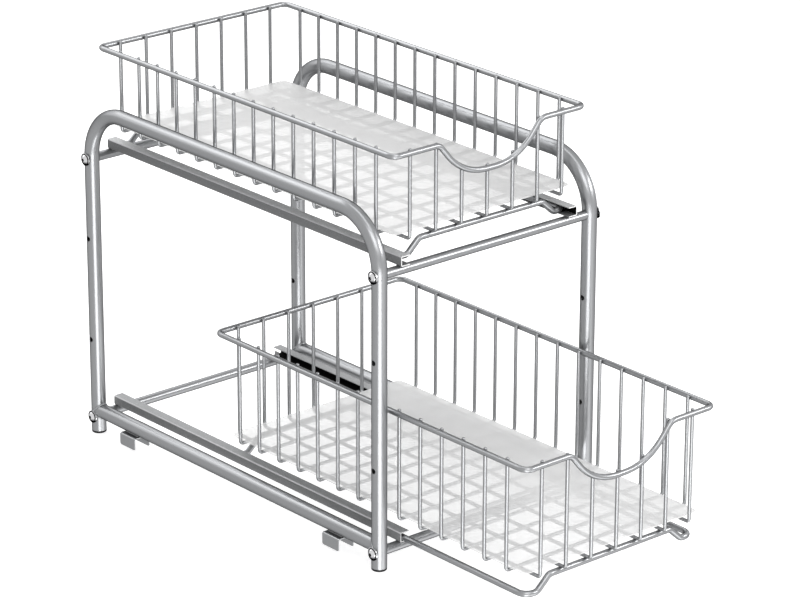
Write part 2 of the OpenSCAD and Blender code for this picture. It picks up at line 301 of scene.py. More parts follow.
@dataclass(frozen=True)
class GrainedFinish:
    """A sprayed, plated or moulded finish with its own grain."""

    name: str
    colour: Colour
    metallic: float
    roughness: float
    grain_size: float
    mottle: float
    flake: float
    gloss_change: float
    bump: float
    relief: float
    shine: float = 0.5
    edge_tint: float = 1.0

    def nodes(self) -> tuple[Material, Tree, Node, Node]:
        """Builds the material's nodes.

        Returns:
            The material, its tree, its Principled BSDF and its grain group's node.
        """
        material, tree, shader = new_material(self.name)
        grain = add_node(tree, "ShaderNodeGroup", (0, 0), {
            "Colour": opaque(self.colour), "Roughness": self.roughness,
            "Grain Size": self.grain_size, "Mottle": self.mottle, "Flake": self.flake,
            "Gloss Change": self.gloss_change}, node_tree=grain_group())
        bumps = add_node(tree, "ShaderNodeBump", (2, -2), {
            "Height": grain.outputs["Height"], "Strength": self.bump, "Distance": self.relief})
        feed(tree, shader, {
            "Base Color": grain.outputs["Colour"], "Roughness": grain.outputs["Roughness"],
            "Normal": bumps.outputs["Normal"], "Metallic": self.metallic,
            "Specular IOR Level": self.shine, "Specular Tint": opaque((self.edge_tint,) * 3)})
        return material, tree, shader, grain

    def material(self) -> Material:
        """Builds the finish's material.

        Returns:
            The material.
        """
        return self.nodes()[0]


@dataclass(frozen=True)
class Channel:
    """Where one slide rail's faces are: X is taken from the middle, whichever the side."""

    side: Side
    web_x: float
    edge_x: float
    front_y: float
    rear_y: float
    low_z: float
    high_z: float
    sheet: float

    @classmethod
    def measure(cls, name: str, side: Side, sheet: float) -> "Channel":
        """Measures a rail.

        Args:
            name: The rail's node.
            side: The side of the object that the rail is on.
            sheet: Thickness of the rail's sheet.

        Returns:
            The inner faces of its web and flanges, its flanges' edges and its two cut ends.
        """
        low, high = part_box(name)
        inner, outer = sorted((abs(low.x), abs(high.x)))
        return cls(side, outer - sheet, inner, low.y, high.y, low.z + sheet, high.z - sheet, sheet)


@dataclass(frozen=True)
class RailFinishWithPaintedLight(GrainedFinish):
    """A slide rail's coat with painted light: a lit top, black painted shade inside, a painted
    highlight at the fold, and bright cut ends.
    """

    # painted light: the top flange is paler than the web, as if lit from above
    top: Colour = (0.35, 0.355, 0.36)
    cut: Colour = (0.80, 0.80, 0.80)
    # painted shade: near-black on the inner faces of the web and upper flange, where the upper
    # flange shades the channel
    inner_shade: Colour = (0.003, 0.003, 0.003)
    # painted highlight along the rounded outer fold between web and top
    fold_highlight: Colour = (0.62, 0.62, 0.63)
    fold_width: float = 1.1 * MM
    # where the painted inner shade stops short: the front of the lower flange, and the flanges'
    # edges
    unshaded_front: float = 14.0 * MM
    unshaded_edge: float = 0.5 * MM
    floor_depth: float = 0.2 * MM
    top_depth: float = 2.0 * MM
    slack: float = 0.12 * MM

    def painted_shade_area(self, tree: Tree, rail: Channel, xyz: tuple[Socket, ...]) -> Socket:
        """Finds where the black shade is painted: the rail's inner faces, but for the front of the
        lower one.

        Args:
            tree: The material's tree.
            rail: The rail's faces.
            xyz: X, Y and Z of the point.

        Returns:
            A mask that is 1 where the black shade is painted.
        """
        x, y, z = xyz
        sign, slack, floor_z = rail.side.value, self.slack, rail.low_z + self.floor_depth
        across = band_mask(tree, x, (sign * (rail.web_x + slack),
                                     sign * (rail.edge_x + self.unshaded_edge)), (-1, 4))
        upper = band_mask(tree, z, (floor_z, rail.high_z + slack), (-1, 3))
        lower = band_mask(tree, z, (rail.low_z - slack, floor_z), (-1, 2))
        along = band_mask(tree, y, (rail.front_y + self.unshaded_front, rail.rear_y), (-1, 1))
        lower_painted_shade = maths(tree, "MULTIPLY", (0, 1), lower, along)
        in_painted_shade = maths(tree, "MAXIMUM", (0, 2), upper, lower_painted_shade)
        return maths(tree, "MULTIPLY", (0, 3), across, in_painted_shade)

    def painted_light_material(self, rail: Channel) -> Material:
        """Builds the rail's material, with its painted light and shade.

        Args:
            rail: The rail's faces.

        Returns:
            The material.
        """
        material, tree, shader, grain = self.nodes()
        material.name = f"{self.name}_{rail.side.name.lower()}"
        x, y, z = xyz = object_xyz(tree, (-3, 3))
        sign, slack = rail.side.value, self.slack
        outer_x, top_z = rail.web_x + rail.sheet, rail.high_z + rail.sheet
        in_painted_shade = self.painted_shade_area(tree, rail, xyz)
        on_top = band_mask(tree, z, (rail.high_z + 2 * slack,
                                     rail.high_z + self.top_depth), (-1, 5))
        front, rear = (band_mask(tree, y, (end_y - slack, end_y + slack), (-1, row))
                       for row, end_y in ((6, rail.front_y), (7, rail.rear_y)))
        at_end = maths(tree, "MAXIMUM", (0, 6), front, rear)
        fold_x = band_mask(tree, x, (sign * (outer_x - self.fold_width),
                                     sign * (outer_x + slack)), (-1, 8))
        fold_z = band_mask(tree, z, (top_z - self.fold_width, top_z + slack), (-1, 9))
        at_fold = maths(tree, "MULTIPLY", (0, 8), fold_x, fold_z)
        # painted light: the paler top flange laid over the coat
        coat = mix_colours(tree, (0, 4), on_top, opaque(self.colour), opaque(self.top))
        feed(tree, grain, {"Colour": coat})
        colour = grain.outputs["Colour"]
        # painted highlight at the fold, painted black shade inside, and the bright cut ends, laid in
        # that order
        layers = ((at_fold, self.fold_highlight), (in_painted_shade, self.inner_shade), (at_end, self.cut))
        for column, (mask, shade) in enumerate(layers, 1):
            colour = mix_colours(tree, (column, 3), mask, colour, opaque(shade))
        # the painted inner shade is matte and not metallic
        metallic = maths(tree, "MULTIPLY_ADD", (1, 4), in_painted_shade, -self.metallic, self.metallic)
        roughness = maths(tree, "MAXIMUM", (2, 5), grain.outputs["Roughness"], in_painted_shade)
        feed(tree, shader, {"Base Color": colour, "Metallic": metallic, "Roughness": roughness})
        return material


@dataclass(frozen=True)
class DomedBoltFinish(GrainedFinish):
    """Plating on domed bolts with painted light: a darker dome and a dark lower edge as painted
    reflection, and painted shade in the groove and socket.
    """

    # painted reflection: the dome is a little darker than the rest of the plating
    dome: Colour = (0.66, 0.66, 0.67)
    # painted dark: shade in the groove and socket, and the dark reflection at the lower edge
    painted_dark: Colour = (0.015, 0.015, 0.016)
    dome_r: float = 5.5 * MM
    groove: float = 1.1 * MM
    socket_half: float = 1.6 * MM
    socket_turn: float = math.radians(60)
    # painted dark reflection on the lower part of each head, fading in between these heights below
    # its middle
    shade_top: float = -0.8 * MM
    shade_low: float = -3.4 * MM

    def material_at(self, middle: Pair, half: Pair) -> Material:
        """Builds the material for bolts that lie on the corners of an upright rectangle.

        Args:
            middle: Y and Z of the rectangle's middle.
            half: Half of the rectangle's size along Y and Z.

        Returns:
            The material.
        """
        material, tree, shader, grain = self.nodes()
        offsets = []
        yz = object_xyz(tree, (-6, 4))[1:]
        for row, (value, centre, reach) in enumerate(zip(yz, middle, half), 4):
            shifted = maths(tree, "SUBTRACT", (-4, row), value, centre)
            folded = maths(tree, "ABSOLUTE", (-3, row), shifted)
            local = maths(tree, "SUBTRACT", (-2, row), folded, reach)
            offsets.append(maths(tree, "ABSOLUTE", (-1, row), local))
        upright = maths(tree, "SIGN", (-2, 7), shifted)
        height = maths(tree, "MULTIPLY", (-1, 7), local, upright)
        # painted dark reflection, growing towards the lower edge of each head
        lower = add_node(tree, "ShaderNodeMapRange", (0, 7), {
            "Value": height, "From Min": self.shade_top, "From Max": self.shade_low})
        from_axis = add_node(tree, "ShaderNodeCombineXYZ", (0, 5),
                             {"X": offsets[0], "Y": offsets[1]}).outputs["Vector"]
        radius = add_node(tree, "ShaderNodeVectorMath", (1, 5), {0: from_axis},
                          operation="LENGTH").outputs["Value"]
        flat = (math.sin(self.socket_turn), math.cos(self.socket_turn), 0.0)
        slanted = add_node(tree, "ShaderNodeVectorMath", (1, 6), {0: from_axis, 1: flat},
                           operation="DOT_PRODUCT").outputs["Value"]
        flats = maths(tree, "MAXIMUM", (2, 6), slanted, offsets[1])
        on_dome = band_mask(tree, radius, (0.0, self.dome_r), (2, 5))
        # painted shade in the groove under the dome and in the hex socket
        in_groove = band_mask(tree, radius, (self.dome_r - self.groove / 2,
                                             self.dome_r + self.groove / 2), (2, 7))
        in_socket = band_mask(tree, flats, (0.0, self.socket_half), (3, 6))
        cut = maths(tree, "MAXIMUM", (4, 6), in_groove, in_socket)
        dark = maths(tree, "MAXIMUM", (4, 7), cut, lower.outputs["Result"])
        bright = mix_colours(tree, (3, 3), on_dome, grain.outputs["Colour"], opaque(self.dome))
        colour = mix_colours(tree, (4, 3), dark, bright, opaque(self.painted_dark))
        feed(tree, shader, {"Base Color": colour})
        return material


@dataclass(frozen=True)
class FrostedFinish(GrainedFinish):
    """Cloudy plastic sheet that lets what is under it show faintly, less so to the right, where it
    is painted greyer as shade.
    """

    # painted shade: the sheet's colour towards the right, greyer than on the left
    right_colour: Colour = (0.94, 0.94, 0.94)
    left_cover: float = 0.43
    right_cover: float = 0.69
    cloud: float = 0.12
    clouds_per_metre: float = 18.0
    cloud_detail: float = 2.0
    turn_x: Pair = (-30.0 * MM, 70.0 * MM)

    def material(self) -> Material:
        """Builds the liner's material.

        Returns:
            The material, whose alpha is cloudy, and which grows denser and, as painted shade, greyer
            towards the right.
        """
        material, tree, shader, grain = self.nodes()
        point = add_node(tree, "ShaderNodeTexCoord", (-1, 3)).outputs["Object"]
        clouds = add_node(tree, "ShaderNodeTexNoise", (0, 3), {
            "Vector": point, "Scale": self.clouds_per_metre, "Detail": self.cloud_detail})
        across = add_node(tree, "ShaderNodeMapRange", (1, 4), {
            "Value": object_xyz(tree, (-1, 4))[0], "From Min": self.turn_x[0],
            "From Max": self.turn_x[1]}, interpolation_type="SMOOTHSTEP").outputs["Result"]
        cover = maths(tree, "MULTIPLY_ADD", (2, 4), across, self.right_cover - self.left_cover,
                      self.left_cover - self.cloud / 2)
        alpha = maths(tree, "MULTIPLY_ADD", (3, 3), clouds.outputs["Fac"], self.cloud, cover)
        # painted shade: the colour greys towards the right
        tint = mix_colours(tree, (-1, 2), across, opaque(self.colour), opaque(self.right_colour))
        feed(tree, shader, {"Alpha": alpha})
        feed(tree, grain, {"Colour": tint})
        return material


SILVER_COAT = GrainedFinish(
    "silver_powder_coat", colour=(0.30, 0.305, 0.313), metallic=0.85, roughness=0.30,
    grain_size=0.35 * MM, mottle=0.05, flake=0.10, gloss_change=0.05, bump=0.008,
    relief=0.35 * MM, edge_tint=0.0)
LOWER_RAIL_COAT = RailFinishWithPaintedLight(
    "lower_rail_coat", colour=(0.27, 0.273, 0.277), metallic=0.3, roughness=0.55,
    grain_size=0.6 * MM, mottle=0.15, flake=0.35, gloss_change=0.1, bump=0.1,
    relief=0.6 * MM, shine=0.2, edge_tint=0.3)
# the upper rails wear the same paint as the lower ones: their darker web, paler top and dimmer fold
# highlight are painted shade and light
UPPER_RAIL_COAT = replace(
    LOWER_RAIL_COAT, name="upper_rail_coat", colour=(0.185, 0.188, 0.192),
    top=(0.52, 0.525, 0.53), fold_highlight=(0.55, 0.55, 0.56))
BRIGHT_ZINC = DomedBoltFinish(
    "bright_zinc", colour=(0.78, 0.78, 0.79), metallic=1.0, roughness=0.12,
    grain_size=0.4 * MM, mottle=0.05, flake=0.0, gloss_change=0.1, bump=0.02,
    relief=0.4 * MM, edge_tint=0.0)
BLACK_MOULDING = GrainedFinish(
    "black_moulding", colour=(0.008, 0.008, 0.009), metallic=0.0, roughness=0.6,
    grain_size=0.4 * MM, mottle=0.2, flake=0.0, gloss_change=0.2, bump=0.2,
    relief=0.4 * MM, shine=0.15)
LOWER_LINER = FrostedFinish(
    "lower_frosted_liner", colour=(1.0, 1.0, 1.0), metallic=0.0, roughness=0.42,
    grain_size=0.8 * MM, mottle=0.05, flake=0.0, gloss_change=0.15, bump=0.15,
    relief=0.2 * MM, shine=0.25)
# the same plastic as the lower liner: the upper copy's darker colours are painted shade
UPPER_LINER = replace(
    LOWER_LINER, name="upper_frosted_liner", colour=(0.84, 0.84, 0.84),
    right_colour=(0.76, 0.76, 0.76), left_cover=0.63, right_cover=0.73)


# ---------- geometry node trees ----------


def geometry_tree(name: str, inputs: dict) -> tuple[Tree, Node, Node]:
    """Starts a Geometry Nodes tree with a geometry input and output.

    Args:
        name: The tree's name.
        inputs: Kind and default of each further input, by name.

    Returns:
        The tree, its input node and its output node.
    """
    tree = bpy.data.node_groups.new(name, "GeometryNodeTree")
    tree.is_modifier = True
    group_socket(tree, "Geometry", "Geometry", False)
    for key, (kind, default) in inputs.items():
        group_socket(tree, key, kind, False, default)
    group_socket(tree, "Geometry", "Geometry", True)
    inside = add_node(tree, "NodeGroupInput", (-4, 0))
    outside = add_node(tree, "NodeGroupOutput", (6, 0))
    return tree, inside, outside


def finish_tree(tree: Tree, inside: Node, outside: Node, made: Socket) -> None:
    """Ends a Geometry Nodes tree: real geometry, smooth faces and its material.

    Args:
        tree: The tree.
        inside: Its input node.
        outside: Its output node.
        made: The socket that carries the finished shape.
    """
    realize = add_node(tree, "GeometryNodeRealizeInstances", (3, 0), {"Geometry": made})
    smooth = add_node(tree, "GeometryNodeSetShadeSmooth", (4, 0),
                      {"Geometry": realize.outputs["Geometry"]})
    coat = add_node(tree, "GeometryNodeSetMaterial", (5, 0), {
        "Geometry": smooth.outputs["Geometry"], "Material": inside.outputs["Material"]})
    feed(tree, outside, {"Geometry": coat.outputs["Geometry"]})


def nugget_tree() -> Tree:
    """Builds the tree that sets a small flattened weld nugget on every point.

    Returns:
        The tree, with inputs Material, Size, Spread and Seed.
    """
    tree, inside, outside = geometry_tree("weld_nuggets", {
        "Material": ("Material", None), "Size": ("Vector", None), "Spread": ("Float", 0.15),
        "Seed": ("Int", 7)})
    given = inside.outputs
    blob = add_node(tree, "GeometryNodeMeshUVSphere", (-2, -2),
                    {"Segments": 8, "Rings": 6, "Radius": 1.0})
    smallest = maths(tree, "SUBTRACT", (-3, -4), 1.0, given["Spread"])
    change = add_node(tree, "FunctionNodeRandomValue", (-2, -4),
                      {"Min": smallest, "Max": 1.0, "Seed": given["Seed"]}, data_type="FLOAT")
    size = add_node(tree, "ShaderNodeVectorMath", (-1, -3),
                    {0: given["Size"], "Scale": change.outputs["Value"]}, operation="SCALE")
    spots = add_node(tree, "GeometryNodeInstanceOnPoints", (0, 0), {
        "Points": given["Geometry"], "Instance": blob.outputs["Mesh"],
        "Scale": size.outputs["Vector"]})
    finish_tree(tree, inside, outside, spots.outputs["Instances"])
    return tree


def bead_tree() -> Tree:
    """Builds the tree that sweeps a round weld bead along the edges of a wire mesh.

    Returns:
        The tree, with inputs Material, Radius, Ripple and Pitch.
    """
    steps_per_ripple, profile_points = 3, 10
    tree, inside, outside = geometry_tree("weld_beads", {
        "Material": ("Material", None), "Radius": ("Float", 1.0 * MM), "Ripple": ("Float", 0.15),
        "Pitch": ("Float", 1.6 * MM)})
    given = inside.outputs
    step = maths(tree, "MULTIPLY", (-3, -1), given["Pitch"], 1 / steps_per_ripple)
    path = add_node(tree, "GeometryNodeMeshToCurve", (-3, 1), {"Mesh": given["Geometry"]})
    steps = add_node(tree, "GeometryNodeResampleCurve", (-2, 1),
                     {"Curve": path.outputs["Curve"], "Length": step}, mode="LENGTH")
    reached = add_node(tree, "GeometryNodeSplineParameter", (-3, -3)).outputs["Length"]
    turns = maths(tree, "DIVIDE", (-2, -3), reached, given["Pitch"])
    angle = maths(tree, "MULTIPLY", (-1, -3), turns, 2 * math.pi)
    wave = maths(tree, "SINE", (0, -3), angle)
    swell = maths(tree, "MULTIPLY", (1, -3), wave, given["Ripple"])
    factor = maths(tree, "ADD", (2, -3), swell, 1.0)
    radius = maths(tree, "MULTIPLY", (2, -2), factor, given["Radius"])
    profile = add_node(tree, "GeometryNodeCurvePrimitiveCircle", (0, -1),
                       {"Resolution": profile_points, "Radius": 1.0})
    sweep = add_node(tree, "GeometryNodeCurveToMesh", (1, 1), {
        "Curve": steps.outputs["Curve"], "Profile Curve": profile.outputs["Curve"],
        "Scale": radius, "Fill Caps": True})
    finish_tree(tree, inside, outside, sweep.outputs["Mesh"])
    return tree


def smooth_tree() -> Tree:
    """Builds the tree that shades a node's curved faces smooth and keeps its edges sharp.

    Returns:
        The tree, with an input Angle in radians.
    """
    merge_distance = 0.002 * MM
    tree, inside, outside = geometry_tree("smooth_faces", {"Angle": ("Float", 0.5)})
    given = inside.outputs
    merge = add_node(tree, "GeometryNodeMergeByDistance", (-1, 0),
                     {"Geometry": given["Geometry"], "Distance": merge_distance})
    faces = add_node(tree, "GeometryNodeSetShadeSmooth", (0, 0),
                     {"Geometry": merge.outputs["Geometry"]}, domain="FACE")
    angle = add_node(tree, "GeometryNodeInputMeshEdgeAngle", (-1, -2))
    sharp = add_node(tree, "FunctionNodeCompare", (1, -2),
                     {"A": angle.outputs["Unsigned Angle"], "B": given["Angle"]},
                     data_type="FLOAT", operation="GREATER_THAN")
    edges = add_node(tree, "GeometryNodeSetShadeSmooth", (2, 0), {
        "Geometry": faces.outputs["Geometry"], "Selection": sharp.outputs["Result"],
        "Shade Smooth": False}, domain="EDGE")
    feed(tree, outside, {"Geometry": edges.outputs["Geometry"]})
    return tree


# ---------- pieces ----------


def grow(name: str, points: list[Vector], edges: Edges, tree: Tree, inputs: dict, body: str) -> None:
    """Runs a Geometry Nodes tree over points and edges and keeps the result as a plain piece.

    Args:
        name: The piece's name.
        points: The mesh's points, in metres.
        edges: Pairs of points that a path joins.
        tree: The Geometry Nodes tree.
        inputs: Values of the tree's inputs, by name.
        body: The body that the piece rides on.
    """
    seed = bpy.data.meshes.new(f"{name}_path")
    seed.from_pydata([tuple(p) for p in points], edges, [])
    carrier = bpy.data.objects.new(f"{name}_path", seed)
    bpy.context.scene.collection.objects.link(carrier)
    modifier = carrier.modifiers.new("grow", "NODES")
    modifier.node_group = tree
    sockets = {s.name: s.identifier for s in tree.interface.items_tree if s.in_out == "INPUT"}
    for key, value in inputs.items():
        modifier[sockets[key]] = value
    evaluated = carrier.evaluated_get(bpy.context.evaluated_depsgraph_get())
    mesh = bpy.data.meshes.new_from_object(evaluated)
    mesh.name = name
    bpy.data.objects.remove(carrier)
    piece = bpy.data.objects.new(name, mesh)
    bpy.context.scene.collection.objects.link(piece)
    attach(piece, body)
    log.info("%s: %d faces on %s", name, len(mesh.polygons), body)


def join(paths: list[list[Vector]], closed: bool) -> tuple[list[Vector], Edges]:
    """Joins the points of each path one after another.

    Args:
        paths: The points of each path.
        closed: True to join each path's last point to its first.

    Returns:
        The points of all the paths, and the edges between them.
    """
    points: list[Vector] = []
    edges: Edges = []
    for path in paths:
        first, last = len(points), len(points) + len(path) - 1
        points += path
        edges += [(i, i + 1) for i in range(first, last)]
        if closed:
            edges.append((last, first))
    return points, edges


def spread(first: float, last: float, count: int) -> list[float]:
    """Spaces places evenly.

    Args:
        first: The first place.
        last: The last place.
        count: How many places there are.

    Returns:
        The places, in order.
    """
    return [first + (last - first) * i / (count - 1) for i in range(count)]


def paint(nodes: list[str], material: Material, tree: Tree) -> None:
    """Gives construction nodes their finish and smooth curved faces.

    Args:
        nodes: Names of the nodes.
        material: The finish's material.
        tree: The smoothing tree.
    """
    for name in nodes:
        part = NODES[name]
        part.data.materials.clear()
        part.data.materials.append(material)
        modifier = part.modifiers.new("smooth faces", "NODES")
        modifier.node_group = tree
        log.info("%s: %s", name, material.name)


# ---------- sub-assemblies ----------


@dataclass
class TubeFrame:
    """The bent side tubes, bottom rails, crossbars, bolts and foot caps, and their welds."""

    coat: Material
    bolt_finish: DomedBoltFinish
    cap_finish: Material
    seam_radius: float = 1.1 * MM
    seam_ripple: float = 0.06
    seam_steps: int = 40
    body: str = "frame"

    def dress(self, tree: Tree) -> None:
        """Paints the frame's nodes.

        Args:
            tree: The smoothing tree.
        """
        sides = [side.name.lower() for side in Side]
        ends = [end.name.lower() for end in End]
        tubes = [f"{s}_side_tube" for s in sides] + [f"{s}_bottom_rail" for s in sides]
        bars = [f"{level}_{e}_crossbar" for level in ("upper", "lower") for e in ends]
        paint(tubes + bars, self.coat, tree)
        paint([f"{s}_crossbar_bolts" for s in sides], self.bolt_material(), tree)
        paint([f"{e}_{s}_foot_cap" for e in ends for s in sides], self.cap_finish, tree)

    def bolt_material(self) -> Material:
        """Builds the bolts' finish round the ends of the crossbars.

        Returns:
            The material.
        """
        middles = []
        for level in ("upper", "lower"):
            for end in End:
                low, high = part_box(f"{level}_{end.name.lower()}_crossbar")
                middles.append((low + high) / 2)
        y_low, y_high = min(m.y for m in middles), max(m.y for m in middles)
        z_low, z_high = min(m.z for m in middles), max(m.z for m in middles)
        return self.bolt_finish.material_at(((y_low + y_high) / 2, (z_low + z_high) / 2),
                                            ((y_high - y_low) / 2, (z_high - z_low) / 2))

    def saddle(self, side: Side, end: End) -> list[Vector]:
        """Traces the joint between a bottom rail and a leg.

        Args:
            side: The rail's side.
            end: The rail's end.

        Returns:
            The points of the closed joint line.
        """
        low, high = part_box(f"{side.name.lower()}_bottom_rail")
        foot_low, foot_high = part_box(f"{end.name.lower()}_{side.name.lower()}_foot_cap")
        rail_x, rail_z, rail_r = (low.x + high.x) / 2, (low.z + high.z) / 2, (high.z - low.z) / 2
        leg_y, leg_r = (foot_low.y + foot_high.y) / 2, (foot_high.y - foot_low.y) / 2
        points = []
        for step in range(self.seam_steps):
            turn = 2 * math.pi * step / self.seam_steps
            across, up = rail_r * math.cos(turn), rail_r * math.sin(turn)
            reach = math.sqrt(max(leg_r**2 - across**2, 0.0))
            points.append(Vector((rail_x + across, leg_y - end.value * reach, rail_z + up)))
        return points

    def build(self, beads: Tree) -> None:
        """Runs a weld seam round each end of the bottom rails.

        Args:
            beads: The bead tree.
        """
        inputs = {"Material": self.coat, "Radius": self.seam_radius, "Ripple": self.seam_ripple}
        for side in Side:
            points, edges = join([self.saddle(side, end) for end in End], True)
            grow(f"{side.name.lower()}_bottom_rail_welds", points, edges, beads, inputs,
                 self.body)


@dataclass
class SlideRails:
    """The four channel rails, the stacking clips, and the welds that hold them."""

    coats: dict[str, RailFinishWithPaintedLight]
    frame_coat: Material
    sheet: float = 1.0 * MM
    seam_radius: float = 0.9 * MM
    seam_ripple: float = 0.18
    seam_gap: float = 0.35 * MM
    rail_seam_y: float = 2.4 * MM
    rail_seam_inset: float = 1.5 * MM
    clip_seam_x: float = 3.0 * MM
    clip_seam_inset: float = 2.0 * MM
    body: str = "frame"

    def dress(self, tree: Tree) -> None:
        """Paints the rails and clips.

        Args:
            tree: The smoothing tree.
        """
        for side in Side:
            for level, coat in self.coats.items():
                name = f"{level}_{side.name.lower()}_rail"
                rail = Channel.measure(name, side, self.sheet)
                paint([name], coat.painted_light_material(rail), tree)
        clips = [f"{end.name.lower()}_{side.name.lower()}_stacking_clip"
                 for end in End for side in Side]
        paint(clips, self.frame_coat, tree)

    def rail_seams(self) -> list[list[Vector]]:
        """Finds the two weld seams along each crossbar, under each rail.

        Returns:
            The two ends of each seam.
        """
        seams = []
        for level in self.coats:
            for side in Side:
                low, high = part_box(f"{level}_{side.name.lower()}_rail")
                xs, z = (low.x + self.rail_seam_inset, high.x - self.rail_seam_inset), low.z
                for end in End:
                    bar_low, bar_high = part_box(f"{level}_{end.name.lower()}_crossbar")
                    bar_y = (bar_low.y + bar_high.y) / 2
                    for y in (bar_y - self.rail_seam_y, bar_y + self.rail_seam_y):
                        seams.append([Vector((x, y, z - self.seam_gap)) for x in xs])
        return seams

    def clip_seams(self) -> list[list[Vector]]:
        """Finds the two weld seams along the bottom rail, over each stacking clip.

        Returns:
            The two ends of each seam.
        """
        seams = []
        for end in End:
            for side in Side:
                low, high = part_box(f"{end.name.lower()}_{side.name.lower()}_stacking_clip")
                ys, z = (low.y + self.clip_seam_inset, high.y - self.clip_seam_inset), high.z
                middle = (low.x + high.x) / 2
                for x in (middle - self.clip_seam_x, middle + self.clip_seam_x):
                    seams.append([Vector((x, y, z + self.seam_gap)) for y in ys])
        return seams

    def build(self, beads: Tree) -> None:
        """Welds each rail to its crossbars and each clip to its bottom rail.

        Args:
            beads: The bead tree.
        """
        points, edges = join(self.rail_seams() + self.clip_seams(), False)
        inputs = {"Material": self.frame_coat, "Radius": self.seam_radius,
                  "Ripple": self.seam_ripple}
        grow("rail_and_clip_welds", points, edges, beads, inputs, self.body)


@dataclass
class WireBasket:
    """One basket: rim, wires, runner and liner, and the nuggets where its wires are welded."""

    body: str
    coat: Material
    liner: Material
    cross_count: int = 14
    long_count: int = 7
    wire_r: float = 1.75 * MM
    rim_r: float = 2.75 * MM
    floor_nugget: Size = (1.1 * MM, 1.1 * MM, 0.5 * MM)
    rim_nugget: Size = (0.9 * MM, 0.9 * MM, 2.0 * MM)

    def dress(self, tree: Tree) -> None:
        """Paints the basket's nodes.

        Args:
            tree: The smoothing tree.
        """
        wires = [f"{self.body}_{part}" for part in ("rim", "cross_wires", "long_wires", "runner")]
        paint(wires, self.coat, tree)
        paint([f"{self.body}_liner"], self.liner, tree)

    def wire_axes(self) -> tuple[list[float], list[float]]:
        """Finds the axes of the wires.

        Returns:
            X of each long wire and Y of each cross wire.
        """
        cross_low, cross_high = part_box(f"{self.body}_cross_wires")
        long_low, long_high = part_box(f"{self.body}_long_wires")
        return (spread(long_low.x + self.wire_r, long_high.x - self.wire_r, self.long_count),
                spread(cross_low.y + self.wire_r, cross_high.y - self.wire_r, self.cross_count))

    def crossings(self) -> list[Vector]:
        """Finds where the long wires pass under the cross wires.

        Returns:
            The points between each pair of crossing wires.
        """
        floor_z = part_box(f"{self.body}_cross_wires")[0].z
        long_x, cross_y = self.wire_axes()
        return [Vector((x, y, floor_z)) for x in long_x for y in cross_y]

    def rim_joints(self) -> list[Vector]:
        """Finds where the cross wires and the long wires meet the rim.

        Returns:
            The points between the rim and each wire.
        """
        rim_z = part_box(f"{self.body}_rim")[1].z - self.rim_r
        cross_low, cross_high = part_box(f"{self.body}_cross_wires")
        long_low, long_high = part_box(f"{self.body}_long_wires")
        long_x, cross_y = self.wire_axes()
        points = [Vector((x, y, rim_z)) for y in cross_y for x in (cross_low.x, cross_high.x)]
        for x in long_x:
            points.append(Vector((x, long_high.y, rim_z)))
            points.append(Vector((x, long_low.y, self.scoop_height(x))))
        return points

    def scoop_height(self, x: float) -> float:
        """Measures how high the front rim's axis is above the floor.

        Args:
            x: Distance from the middle of the basket.

        Returns:
            The height of the axis at that place.
        """
        rim = f"{self.body}_rim"
        low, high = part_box(rim)
        mesh = NODES[rim].data
        corners, faces = [v.co for v in mesh.vertices], [p.vertices for p in mesh.polygons]
        surface = BVHTree.FromPolygons(corners, faces)
        y = low.y + self.rim_r
        top = surface.ray_cast(Vector((x, y, high.z + self.rim_r)), Vector((0, 0, -1)))[0]
        under = surface.ray_cast(Vector((x, y, low.z - self.rim_r)), Vector((0, 0, 1)))[0]
        return (top.z + under.z) / 2

    def build(self, nuggets: Tree) -> None:
        """Sets the weld nuggets of the basket.

        Args:
            nuggets: The nugget tree.
        """
        for name, points, size in (("floor_welds", self.crossings(), self.floor_nugget),
                                   ("rim_welds", self.rim_joints(), self.rim_nugget)):
            grow(f"{self.body}_{name}", points, [], nuggets,
                 {"Material": self.coat, "Size": size}, self.body)


# ---------- studio ----------


@dataclass(frozen=True)
class SoftBox:
    """An area lamp on a circle round the object."""

    name: str
    bearing: float
    elevation: float
    distance: float
    width: float
    height: float
    power: float

    def build(self, target: Vector) -> None:
        """Places the lamp and points it at the object.

        Args:
            target: The point that it lights.
        """
        lamp = bpy.data.lights.new(self.name, "AREA")
        lamp.shape = "RECTANGLE"
        lamp.size, lamp.size_y = self.width, self.height
        lamp.energy = self.power
        holder = bpy.data.objects.new(self.name, lamp)
        bearing, elevation = math.radians(self.bearing), math.radians(self.elevation)
        level = math.cos(elevation)
        away = Vector((math.sin(bearing) * level, -math.cos(bearing) * level, math.sin(elevation)))
        holder.location = target + away * self.distance
        holder.rotation_mode = "QUATERNION"
        holder.rotation_quaternion = (-away).to_track_quat("-Z", "Y")
        holder.visible_camera = False
        bpy.context.scene.collection.objects.link(holder)
        log.info("lamp %s", self.name)


# Name, bearing and elevation in degrees, distance, width and height in metres, and watts.
LAMPS = (
    SoftBox("back_wide_box", 178.0, 34.0, 2.2, 3.2, 1.6, 19.0),
    SoftBox("back_box", 175.0, 46.0, 2.1, 2.0, 0.7, 9.0),
    SoftBox("top_strip", 0.0, 85.0, 2.4, 0.5, 2.8, 12.0),
    SoftBox("front_box", -28.0, 38.0, 2.4, 1.5, 1.3, 18.0),
    SoftBox("under_front_box", 19.0, -42.0, 2.4, 1.6, 1.1, 13.0),
    SoftBox("front_right_strip", 40.0, 24.0, 2.6, 1.6, 0.6, 28.0),
    SoftBox("low_left_box", -33.0, -20.8, 2.6, 1.75, 0.9, 24.0),
    SoftBox("low_right_box", 14.0, -20.8, 2.6, 1.6, 0.9, 3.0),
    SoftBox("under_left_strip", -35.0, -58.0, 2.4, 0.8, 1.8, 16.0),
    SoftBox("right_box", 95.0, 6.0, 1.4, 0.8, 0.6, 3.0),
)


